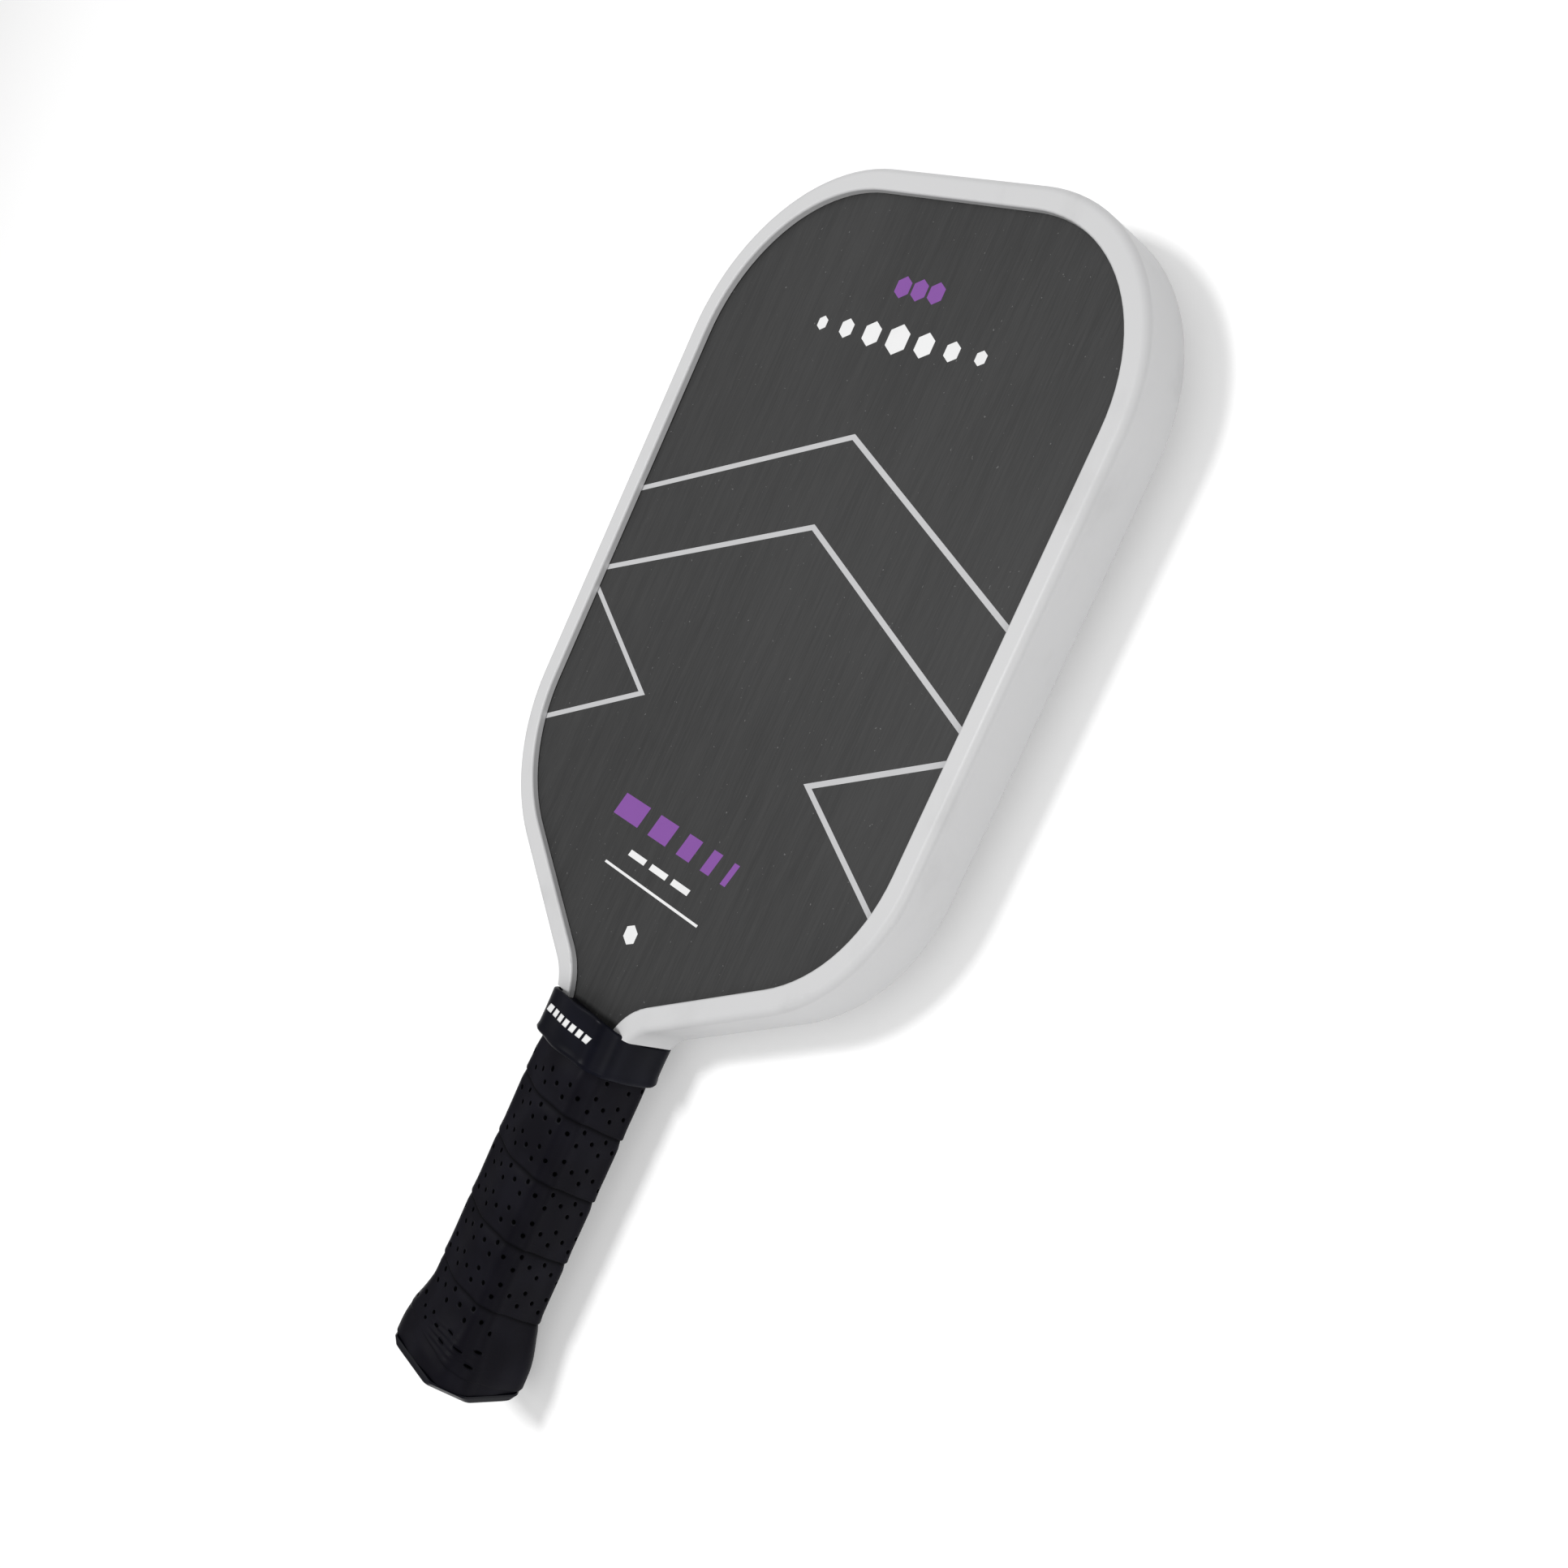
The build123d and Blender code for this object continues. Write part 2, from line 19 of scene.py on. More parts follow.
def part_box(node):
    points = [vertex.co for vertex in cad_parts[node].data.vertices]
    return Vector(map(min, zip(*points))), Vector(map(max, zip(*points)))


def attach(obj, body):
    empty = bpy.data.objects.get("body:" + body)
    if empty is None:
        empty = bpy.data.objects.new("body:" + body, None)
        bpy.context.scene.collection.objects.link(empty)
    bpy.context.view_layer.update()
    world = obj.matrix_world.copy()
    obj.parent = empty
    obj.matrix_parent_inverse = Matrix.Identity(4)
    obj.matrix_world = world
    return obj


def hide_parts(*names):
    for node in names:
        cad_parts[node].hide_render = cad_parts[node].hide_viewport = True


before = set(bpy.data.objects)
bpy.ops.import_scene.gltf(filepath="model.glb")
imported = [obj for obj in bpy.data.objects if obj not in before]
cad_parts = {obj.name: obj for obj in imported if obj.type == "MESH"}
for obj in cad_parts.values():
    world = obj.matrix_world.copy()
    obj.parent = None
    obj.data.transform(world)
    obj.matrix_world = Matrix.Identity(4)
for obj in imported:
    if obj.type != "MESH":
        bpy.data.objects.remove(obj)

LOG = logging.getLogger("paddle")
MM = 0.001

Array = np.ndarray
Colour = tuple[float, float, float]


# ---------------------------------------------------------------- shader maths


class Value:
    """A number that varies over a surface. Its operators add Math nodes to the shader that made it."""

    def __init__(self, shader: "Shader", socket: bpy.types.NodeSocket) -> None:
        """Wraps one output socket.

        Args:
            shader: The shader whose tree the socket belongs to.
            socket: The output socket to work on.
        """
        self.shader = shader
        self.socket = socket

    def _math(self, operation: str, *terms: Any) -> "Value":
        """Adds one Math node over the given terms and returns its result."""
        node = self.shader.node("ShaderNodeMath", {"operation": operation}, dict(enumerate(terms)))
        return Value(self.shader, node.outputs[0])

    def __add__(self, other: Any) -> "Value":
        """Sum with a number or a value."""
        return self._math("ADD", self, other)

    def __sub__(self, other: Any) -> "Value":
        """Difference from a number or a value."""
        return self._math("SUBTRACT", self, other)

    def __rsub__(self, other: Any) -> "Value":
        """A number less this value."""
        return self._math("SUBTRACT", other, self)

    def __mul__(self, other: Any) -> "Value":
        """Product with a number or a value."""
        return self._math("MULTIPLY", self, other)

    __radd__ = __add__
    __rmul__ = __mul__

    def ramp(self, start: float, end: float) -> "Value":
        """Rises smoothly from 0 at start to 1 at end; start may be the larger."""
        settings = {"interpolation_type": "SMOOTHSTEP"}
        low, high, first, last = (start, end, 0.0, 1.0) if start < end else (end, start, 1.0, 0.0)
        node = self.shader.node("ShaderNodeMapRange", settings, {0: self, 1: low, 2: high, 3: first, 4: last})
        return Value(self.shader, node.outputs[0])


class Shader:
    """A material and its node tree, with one method that adds any node."""

    def __init__(self, name: str) -> None:
        """Makes an empty material with the given name."""
        self.material = bpy.data.materials.new(name)
        self.material.use_nodes = True
        self.tree = self.material.node_tree
        self.tree.nodes.clear()

    def node(self, kind: str, settings: dict[str, Any], inputs: dict[Any, Any]) -> bpy.types.Node:
        """Adds a node.

        Args:
            kind: The node's type, such as ShaderNodeMath.
            settings: The node's own properties, set before its inputs.
            inputs: A value, socket or Value for each input, by its name or number.

        Returns:
            The new node.
        """
        made = self.tree.nodes.new(kind)
        for key, setting in settings.items():
            setattr(made, key, setting)
        for key, given in inputs.items():
            source = given.socket if isinstance(given, Value) else given
            if isinstance(source, bpy.types.NodeSocket):
                self.tree.links.new(source, made.inputs[key])
            else:
                made.inputs[key].default_value = source
        return made

    def place(self, scale: Sequence[float]) -> bpy.types.NodeSocket:
        """Object coordinates, multiplied by a scale for each axis."""
        coordinates = self.node("ShaderNodeTexCoord", {}, {}).outputs["Object"]
        return self.node("ShaderNodeMapping", {}, {"Vector": coordinates, "Scale": tuple(scale)}).outputs[0]

    def noise(self, scale: Sequence[float], detail: float = 2.0, roughness: float = 0.5) -> Value:
        """Noise from 0 to 1, whose features are about 1/scale metres along each axis."""
        inputs = {"Vector": self.place(scale), "Scale": 1.0, "Detail": detail, "Roughness": roughness}
        return Value(self, self.node("ShaderNodeTexNoise", {}, inputs).outputs["Fac"])

    def attribute(self, name: str) -> Value:
        """A piece's own point attribute."""
        return Value(self, self.node("ShaderNodeAttribute", {"attribute_name": name}, {}).outputs["Fac"])

    def blend(self, factor: Value, first: Any, second: Any) -> bpy.types.NodeSocket:
        """Mixes two colours, each a tuple or a socket, by a factor from 0 to 1."""
        first, second = ((*c, 1.0) if isinstance(c, tuple) else c for c in (first, second))
        inputs = {0: factor, 6: first, 7: second}
        return self.node("ShaderNodeMix", {"data_type": "RGBA"}, inputs).outputs[2]

    def bump(self, height: Value, distance: float, strength: float = 1.0) -> bpy.types.NodeSocket:
        """The normal of a surface raised by height times distance, in metres."""
        inputs = {"Height": height, "Distance": distance, "Strength": strength}
        return self.node("ShaderNodeBump", {}, inputs).outputs[0]

    def surface(self, **inputs: Any) -> bpy.types.Material:
        """Ends the tree in a Principled BSDF.

        Args:
            **inputs: Its inputs, with underscores for spaces in their names.

        Returns:
            The finished material.
        """
        named = {key.replace("_", " "): value for key, value in inputs.items()}
        shader = self.node("ShaderNodeBsdfPrincipled", {}, named)
        self.node("ShaderNodeOutputMaterial", {}, {"Surface": shader.outputs[0]})
        return self.material


# ---------------------------------------------------------------- finishes


@dataclass(frozen=True)
class CarbonFace:
    """Matte raw carbon, with fine streaks along the paddle and a few tiny pale specks."""

    dark: Colour = (0.020, 0.020, 0.0203)
    light: Colour = (0.036, 0.036, 0.0362)
    speck: Colour = (0.15, 0.15, 0.15)
    roughness: float = 0.52

    def material(self) -> bpy.types.Material:
        """Builds the material."""
        shader = Shader("raw_carbon")
        fine = shader.noise((2300.0, 90.0, 90.0), 3.0, 0.6)
        broad = shader.noise((380.0, 14.0, 14.0), 2.0)
        cloud = shader.noise((26.0, 15.0, 20.0), 3.0)
        streak = fine * 0.5 + broad * 0.25 + cloud * 0.25
        specks = shader.noise((1000.0, 800.0, 800.0), 1.0).ramp(0.775, 0.80)
        colour = shader.blend(streak.ramp(0.32, 0.68), self.dark, self.light)
        return shader.surface(
            Base_Color=shader.blend(specks * 0.7, colour, self.speck),
            Roughness=streak * 0.14 + (self.roughness - 0.07),
            Specular_IOR_Level=0.34,
            Normal=shader.bump(fine * 0.7 + broad * 0.3, 0.00003, 0.6),
        )


@dataclass(frozen=True)
class GuardPlastic:
    """Satin off-white moulded plastic, with a very slight orange peel and faint handling marks."""

    colour: Colour = (0.665, 0.665, 0.67)
    marked: Colour = (0.60, 0.60, 0.603)
    roughness: float = 0.44

    def material(self) -> bpy.types.Material:
        """Builds the material."""
        shader = Shader("satin_guard")
        peel = shader.noise((700.0, 700.0, 700.0), 2.0)
        marks = shader.noise((45.0, 30.0, 60.0), 4.0, 0.6)
        return shader.surface(
            Base_Color=shader.blend(marks.ramp(0.50, 0.85), self.colour, self.marked),
            Roughness=marks * 0.12 + (self.roughness - 0.06),
            Specular_IOR_Level=0.40,
            Normal=shader.bump(peel, 0.00004, 0.5),
        )


@dataclass(frozen=True)
class CushionTape:
    """Soft black cushion tape: a fine leathery grain, with painted shade in its pores and along its seams."""

    colour: Colour = (0.0042, 0.0038, 0.0066)
    worn: Colour = (0.0072, 0.0068, 0.0110)
    # painted shade: the near-black for the pore pits and the lapped edges
    pore: Colour = (0.0004, 0.0004, 0.0006)
    roughness: float = 0.50

    def material(self) -> bpy.types.Material:
        """Builds the material. Two attributes from 0 to 1, for the pore pits and the lapped edges, paint
        shade into its colour.
        """
        shader = Shader("perforated_cushion")
        grain = shader.noise((2400.0, 2400.0, 2400.0), 3.0, 0.6)
        cloud = shader.noise((90.0, 70.0, 90.0), 3.0)
        pore, seam = shader.attribute("pore"), shader.attribute("seam")
        skin = shader.blend(cloud.ramp(0.35, 0.75), self.colour, self.worn)
        # painted shade along the lapped edges of the turns
        seamed = shader.blend(seam * 0.75, skin, self.pore)
        return shader.surface(
            # painted shade in the pore pits
            Base_Color=shader.blend(pore, seamed, self.pore),
            Roughness=pore * 0.45 + seam * 0.25 + cloud * 0.1 + (self.roughness - 0.05),
            Specular_IOR_Level=0.06,
            Normal=shader.bump(grain, 0.00005, 0.6),
        )


@dataclass(frozen=True)
class Moulding:
    """A plain moulded, cut or sprayed finish with a little unevenness in its colour and surface."""

    name: str
    colour: Colour
    roughness: float
    unevenness: float = 0.15
    grain: float = 900.0
    relief: float = 0.00003
    metallic: float = 0.0
    specular: float = 0.5

    def material(self) -> bpy.types.Material:
        """Builds the material."""
        shader = Shader(self.name)
        grain = shader.noise((self.grain,) * 3, 2.0)
        cloud = shader.noise((60.0, 60.0, 60.0), 3.0)
        paler = tuple(min(1.0, c * (1 + self.unevenness)) for c in self.colour)
        return shader.surface(
            Base_Color=shader.blend(cloud.ramp(0.35, 0.70), self.colour, paler),
            Metallic=self.metallic,
            Roughness=cloud * 0.10 + (self.roughness - 0.05),
            Specular_IOR_Level=self.specular,
            Normal=shader.bump(grain, self.relief, 0.5),
        )


class Ink(Enum):
    """The inks printed on the faces and the collar."""

    GREY = ("print_grey", (0.56, 0.56, 0.57))
    VIOLET = ("print_violet", (0.235, 0.076, 0.36))
    WHITE = ("print_white", (0.86, 0.86, 0.86))

    def material(self) -> bpy.types.Material:
        """Builds the ink's material, once."""
        name, colour = self.value
        made = bpy.data.materials.get(name)
        return made or Moulding(name, colour, 0.50, unevenness=0.04, grain=1800.0, specular=0.3).material()


RUBBER = Moulding("collar_rubber_smooth", (0.0030, 0.0032, 0.0066), 0.38, 0.6, 500.0, specular=0.08)
CAP_PLASTIC = Moulding("cap_satin", (0.0035, 0.0035, 0.0066), 0.24, 0.4, 700.0, specular=0.18)
NECK_TAPE = Moulding("neck_tape", (0.0050, 0.0046, 0.0085), 0.46, 0.5, 900.0, specular=0.10)
CAD_FINISHES = {
    "core_panel": Moulding("polymer_core", (0.60, 0.64, 0.66), 0.45),
    "front_bond_film": Moulding("bonding_film", (0.40, 0.30, 0.13), 0.35),
    "back_bond_film": Moulding("bonding_film_back", (0.40, 0.30, 0.13), 0.35),
    "edge_guard_tape": Moulding("guard_foam_tape", (0.26, 0.26, 0.25), 0.80, grain=2500.0),
    "front_handle_pallet": Moulding("handle_foam", (0.50, 0.45, 0.30), 0.75, grain=1600.0),
    "back_handle_pallet": Moulding("handle_foam_back", (0.50, 0.45, 0.30), 0.75, grain=1600.0),
    "butt_cap_staples": Moulding("staple_wire", (0.55, 0.55, 0.56), 0.30, metallic=1.0),
    "butt_cap": CAP_PLASTIC,
    "finishing_tape": NECK_TAPE,
    "butt_cap_badge": Moulding("badge_satin", (0.0075, 0.0075, 0.0100), 0.40, 0.4, specular=0.30),
}


# ---------------------------------------------------------------- meshes


def make_piece(
    name: str, points: Array, faces: Sequence[Sequence[int]], smooth: bool = True
) -> bpy.types.Object:
    """Makes a mesh object at the origin.

    Args:
        name: The piece's name.
        points: Its vertices, one row each, in metres in the row frame.
        faces: The vertices of each face, anticlockwise as seen from outside.
        smooth: Whether its faces are shaded smooth.

    Returns:
        The new object, linked to the scene.
    """
    mesh = bpy.data.meshes.new(name)
    mesh.from_pydata(points.tolist(), [], faces)
    mesh.polygons.foreach_set("use_smooth", [smooth] * len(mesh.polygons))
    mesh.update()
    piece = bpy.data.objects.new(name, mesh)
    bpy.context.scene.collection.objects.link(piece)
    LOG.info("%s: %d vertices, %d faces", name, len(points), len(faces))
    return piece


def give_attribute(piece: bpy.types.Object, name: str, values: Array) -> None:
    """Stores a number for each vertex of a piece, for its material to read."""
    piece.data.attributes.new(name, "FLOAT", "POINT").data.foreach_set("value", values.astype(np.float32))


def smoothstep(x: Array) -> Array:
    """3x^2 - 2x^3 on x held between 0 and 1."""
    held = np.clip(x, 0.0, 1.0)
    return held * held * (3 - 2 * held)


def ring_quads(rings: int, around: int, start: int = 0) -> Array:
    """Quads between successive closed rings of vertices, numbered ring after ring."""
    ring, k = np.meshgrid(np.arange(rings - 1), np.arange(around), indexing="ij")
    here = start + ring * around
    after = here + around
    following = (k + 1) % around
    return np.stack([here + k, here + following, after + following, after + k], -1).reshape(-1, 4)


# ---------------------------------------------------------------- handle


@dataclass(frozen=True)
class HandleSection:
    """The handle's section: eight facets joined by round corners, the wide ones slightly crowned."""

    half_width: float = 15.15 * MM
    half_depth: float = 12.5 * MM
    chamfer: float = 3.3 * MM
    corner: float = 2.5 * MM
    tape_offset: float = 1.65 * MM
    wide_crown: float = 1.0 * MM
    side_crown: float = 0.45 * MM
    rim_y: float = -77.0 * MM
    mid_z: float = 19.1 * MM

    def _centres(self) -> Array:
        """Centres of the corner arcs, from the right-back one over the front to the left and the back."""
        flat_x = self.half_width - self.chamfer
        flat_z = self.half_depth - self.chamfer
        quarter = np.array([(self.half_width, flat_z), (flat_x, self.half_depth)])
        corners = np.array([(self.half_width, -flat_z), *quarter, (-flat_x, self.half_depth)])
        corners = np.vstack([corners, -corners])
        bisectors = np.radians(45.0 * np.arange(8) - 22.5)
        away = self.corner / math.cos(math.pi / 8)
        return corners - away * np.stack([np.cos(bisectors), np.sin(bisectors)], -1)

    def lengths(self) -> Array:
        """Lengths of arc, facet, arc, facet and so on, at the tape's surface."""
        centres = self._centres()
        facets = np.linalg.norm(np.roll(centres, -1, 0) - centres, axis=1)
        arcs = np.full(8, (self.corner + self.tape_offset) * math.pi / 4)
        return np.stack([arcs, facets], -1).ravel()

    def girth(self) -> float:
        """Length once round the tape's surface."""
        return float(self.lengths().sum())

    def point(self, share: Array, height: Array, y: Array) -> Array:
        """Points over the handle.

        On corner k the normal turns evenly through 45 degrees about the arc's centre. On facet k the
        foot runs straight between two centres, and a crown of c sin^2(pi t) is added, where t goes from
        0 to 1 across the facet.

        Args:
            share: Part of a turn, from the right-back corner over the front.
            height: Distance out from the bare handle.
            y: Height along the handle from the collar's rim.

        Returns:
            An array of points in the row frame, with one more axis than the inputs.
        """
        lengths = self.lengths()
        ends = np.cumsum(lengths)
        along = (share % 1.0) * ends[-1]
        piece = np.clip(np.searchsorted(ends, along, side="right"), 0, 15)
        part = (along - (ends - lengths)[piece]) / lengths[piece]
        k, on_facet = piece // 2, piece % 2
        centres = self._centres()
        angle = np.radians(45.0 * (k - 1) + 45.0 * np.where(on_facet, 1.0, part))
        foot = centres[k] + (centres[(k + 1) % 8] - centres[k]) * (part * on_facet)[..., None]
        crowns = np.array([self.side_crown, 0, self.wide_crown, 0] * 2)
        out = self.corner + height + crowns[k] * on_facet * np.sin(math.pi * part) ** 2
        x = foot[..., 0] + out * np.cos(angle)
        z = foot[..., 1] + out * np.sin(angle)
        return np.stack([x, y + self.rim_y, z + self.mid_z], -1)


@dataclass(frozen=True)
class Flare:
    """How the butt cap swells under the grip: a half cosine wave of the given height."""

    rise: float = 3.8 * MM
    start: float = 100.0 * MM
    end: float = 121.5 * MM

    def height(self, y: Array) -> Array:
        """Rise at a height y along the handle: rise * (1 - cos(pi s)) / 2, where s goes from 0 to 1."""
        share = np.clip((-y - self.start) / (self.end - self.start), 0.0, 1.0)
        return self.rise * (1 - np.cos(math.pi * share)) / 2


@dataclass
class GripWrap:
    """One unbroken strip of perforated cushion tape, wound up the handle with each turn lapped.

    The strip is worked out flat, u along it and v across it, and then laid on the handle. Its pores lie
    in six rows, three to a band, each row one diagonal step along from the row below.
    """

    section: HandleSection
    flare: Flare
    start: float = -125.1 * MM
    end: float = -10.8 * MM
    hem: float = -14.5 * MM
    pitch: float = 22.49 * MM
    lap: float = 3.0 * MM
    turns: float = 5.87
    bed: float = 0.12 * MM
    thickness: float = 1.65 * MM
    thin_edge: float = 0.5 * MM
    skive: float = 7.0 * MM
    pressed: float = 0.85 * MM
    edge_round: float = 0.8 * MM
    pore_pitch: float = 10.103 * MM
    pore_radius: float = 0.74 * MM
    pore_depth: float = 1.15 * MM
    pores_from: float = 134.0 * MM
    cells: int = 18
    origin: float = -0.244 * MM
    phase: int = 12
    first_row: float = 4.396 * MM
    line_step: float = 0.61 * MM
    first_line: int = 12
    row_lines: tuple[int, ...] = (0, 4, 8, 18, 22, 26)
    row_shifts: tuple[int, ...] = (0, 8, 16, 13, 3, 11)
    rises: tuple[tuple[float, float, float], ...] = (
        (0.974 * MM, 0.172, 0.09),
        (-3.595 * MM, 0.451, 0.162),
    )
    shift: tuple[float, float, float] = (-4.082 * MM, 0.509, 0.122)
    last_shift: tuple[float, float, float] = (-3.6 * MM, 1.27, 0.13)
    held_below: float = -118.0 * MM
    free_over: float = 14.0 * MM
    top_hold: float = 9.0 * MM

    @property
    def width(self) -> float:
        """Full width of the strip."""
        return self.pitch + self.lap

    @property
    def cell(self) -> float:
        """Step of the grid along the strip, eighteen to a repeat of the pores."""
        return self.pore_pitch / self.cells

    def edges(self, turns: Array) -> tuple[Array, Array]:
        """Heights of the strip's lower and upper edge after a number of turns."""
        low = np.maximum(self.start + self.pitch * (turns - 1), self.start)
        high = np.minimum(self.start + self.lap + self.pitch * turns, self.end)
        return low, high

    def climb(self, turns: Array, v: Array) -> Array:
        """Height along the handle of a place across the strip.

        It is low + v, except that the first turn is narrowed evenly, and what would pass the strip's
        upper end is gathered evenly between the hem and that end.
        """
        low, high = self.edges(turns)
        plain = low + v
        gather = (self.end - self.hem) / np.maximum(low + self.width - self.hem, self.end - self.hem)
        gathered = np.where(plain > self.hem, self.hem + (plain - self.hem) * gather, plain)
        return np.where(turns < 1, low + (high - low) * v / self.width, gathered)

    def body(self, turns: Array, y: Array) -> Array:
        """Thickness of a strip lying flat: full, and thinned smoothly towards its upper edge."""
        low, high = self.edges(turns)
        full = self.thin_edge + (self.thickness - self.thin_edge) * np.clip((high - low) / (9 * MM), 0, 1)
        return self.thin_edge + (full - self.thin_edge) * smoothstep((high - y) / self.skive)

    def underside(self, turns: Array, y: Array) -> Array:
        """Height of the strip's underside: on the bed, or on the thin edge of the turn below."""
        _, high_below = self.edges(turns - 1)
        lift = smoothstep((turns - 0.8) / 0.2)
        cover = smoothstep((high_below - y) / (1.2 * MM) + 1)
        return self.bed + lift * cover * (self.body(np.maximum(turns - 1, 0), y) + 0.04 * MM)

    def uneven(self, u: Array, v: Array) -> Array:
        """Slight unevenness of the soft tape: slow waves, and short creases where it is stretched."""
        waves = np.sin(u / (7.3 * MM) + 1.0) * np.sin(v / (5.1 * MM) + u / (31 * MM))
        near = np.exp(-(((u - 147 * MM) / (9 * MM)) ** 2) - ((v - 5.0 * MM) / (3.2 * MM)) ** 2)
        creases = np.sin(2 * math.pi * (v / (2.1 * MM) + u / (19 * MM)))
        return 0.05 * MM * waves + 0.22 * MM * near * creases

    def pull(self, turns: Array, y: Array) -> tuple[Array, Array]:
        """How the strip was pulled in winding: its places moved round and along the handle.

        Each pull is a bell exp(-((share - centre) / width)^2) round the handle. The pulls along the
        handle fade out towards both ends of the strip.

        Args:
            turns: Turns from the strip's start.
            y: Height along the handle before the pull.

        Returns:
            The turns and the heights after the pull.
        """

        def bell(size: float, centre: float, width: float) -> Array:
            away = (turns - centre + 0.5) % 1.0 - 0.5
            return size * np.exp(-((away / width) ** 2))

        free = smoothstep((y - self.held_below) / self.free_over)
        free = free * smoothstep((self.end - y) / self.top_hold)
        along = sum(bell(*rise) for rise in self.rises)
        size, centre, width = self.last_shift
        last = size * np.exp(-(((turns - centre) / width) ** 2))
        round_it = bell(*self.shift) * free + last
        return turns + round_it / self.section.girth(), y + along * free

    def place(self, turns: Array, height: Array, y: Array) -> Array:
        """The point of the pulled strip at a height over the flared handle."""
        turned, y = self.pull(turns, y)
        return self.section.point(turned, height + self.flare.height(y), y)

    def lay(self, u: Array, v: Array, sink: Array) -> Array:
        """Lays flat places on the strip's upper side over the handle.

        The upper side is the larger of the flat strip and the pressed strip over the turn below, eased
        into each other, and falls off as a quarter ellipse at the lower edge.
        """
        turns = u / self.section.girth()
        y = self.climb(turns, v)
        under = self.underside(turns, y)
        flat = self.bed + self.body(turns, y)
        over = under + self.pressed
        ease = 0.25 * MM
        top = ease * np.logaddexp(flat / ease, over / ease)
        low, _ = self.edges(turns)
        rounding = np.where(turns < 1, 0.12 * MM, self.edge_round)
        inward = np.clip((y - low) / rounding, 0.0, 1.0)
        top = under + (top - under) * np.sqrt(1 - (1 - inward) ** 2 + 1e-4)
        return self.place(turns, top + self.uneven(u, v) * inward - sink, y)

    def lay_under(self, u: Array, v: Array) -> Array:
        """Lays flat places on the strip's underside over the handle."""
        turns = u / self.section.girth()
        y = self.climb(turns, v)
        return self.place(turns, self.underside(turns, y), y)

    def _lines(self) -> Array:
        """Places of the grid's lines across the strip, closer at its two edges, even under the pores."""
        even = self.first_row + self.line_step * np.arange(-2, 29)
        lower = np.array([0, 0.04, 0.12, 0.24, 0.42, 0.68, 1.05, 1.5, 2.05, 2.6]) * MM
        upper = self.width - np.array([3.3, 2.6, 1.9, 1.3, 0.7, 0.25, 0.07, 0]) * MM
        return np.concatenate([lower, even, upper])

    def _pores(self, stations: int) -> Array:
        """Grid places of the pores' middles, as pairs of station and line, where there is room for one."""
        lines = self._lines()
        found = []
        for row, shift in zip(self.row_lines, self.row_shifts):
            at = np.arange((shift + self.phase) % self.cells, stations - 3, self.cells)
            line = row + self.first_line
            u = self.origin + at * self.cell
            low, _ = self.edges(u / self.section.girth())
            clear = low + lines[line] < self.hem - 1.5 * MM
            kept = at[(u > self.pores_from) & clear]
            found.append(np.stack([kept, np.full(len(kept), line)], -1))
        return np.concatenate(found)

    def build(self) -> bpy.types.Object:
        """Makes the strip as one closed mesh, with a pit for each pore.

        The upper side is a grid of lines by stations. Each pore takes the place of four by four cells:
        their sixteen outer vertices join to three circles, the last of them at the pit's floor.

        Returns:
            The wrap.
        """
        lines = self._lines()
        stations = int(self.turns * self.section.girth() / self.cell) + 1
        under_lines = self.width * np.array([1.0, 0.86, 0.6, 0.4, 0.2, 0.15, 0.12, 0.08, 0.04, 0.015, 0.0])
        n_top, n_ring = len(lines), len(lines) + len(under_lines)
        u = self.origin + np.arange(stations)[:, None] * self.cell
        top = self.lay(u + 0 * lines, 0 * u + lines, np.zeros((stations, n_top)))
        under = self.lay_under(u + 0 * under_lines, 0 * u + under_lines)
        ring = np.concatenate([top, under], axis=1)

        quads = ring_quads(stations, n_ring)
        covered = np.zeros((stations - 1, n_ring), bool)
        pores = self._pores(stations)
        step = np.arange(-2, 2)
        covered[
            (pores[:, 0, None, None] + step[:, None]), (pores[:, 1, None, None] + step[None, :])
        ] = True
        quads = quads[~covered.ravel()]

        edge_u = np.array([2, 2, 2, 1, 0, -1, -2, -2, -2, -2, -2, -1, 0, 1, 2, 2])
        edge_v = np.array([0, 1, 2, 2, 2, 2, 2, 1, 0, -1, -2, -2, -2, -2, -2, -1])
        outer = (pores[:, 0, None] + edge_u) * n_ring + pores[:, 1, None] + edge_v
        angle = np.arange(16) * math.pi / 8
        middle_u = self.origin + pores[:, 0, None] * self.cell
        middle_v = lines[pores[:, 1]][:, None]
        slit = np.exp(-(((middle_u - 143 * MM) / (9 * MM)) ** 2)) * (middle_v < 10 * MM)
        circles, depths = [], []
        for scale, depth in ((1.16, 0.0), (0.98, 0.16 * MM), (0.94, self.pore_depth)):
            radius = self.pore_radius * scale
            pu = middle_u + radius * (1 + 0.7 * slit) * np.cos(angle)
            pv = middle_v + radius * (1 - 0.6 * slit) * np.sin(angle)
            sink = np.full(pu.shape, depth)
            circles.append(self.lay(pu, pv, sink).reshape(-1, 3))
            depths.append(np.full(pu.size, depth / self.pore_depth))
        base = ring.shape[0] * n_ring
        count = pores.shape[0] * 16
        rows = [outer] + [base + k * count + np.arange(count).reshape(-1, 16) for k in range(3)]
        walls = []
        for near, far in zip(rows, rows[1:]):
            walls.append(
                np.stack([near, far, np.roll(far, -1, 1), np.roll(near, -1, 1)], -1).reshape(-1, 4)
            )
        floors = rows[-1][:, ::-1].tolist()

        points = np.concatenate([ring.reshape(-1, 3), *circles])
        first_end = list(range(n_ring))
        last_end = [(stations - 1) * n_ring + k for k in reversed(range(n_ring))]
        faces = [*quads.tolist(), *np.concatenate(walls).tolist(), *floors, first_end, last_end]
        piece = make_piece("grip_cushion_wrap", points, faces)
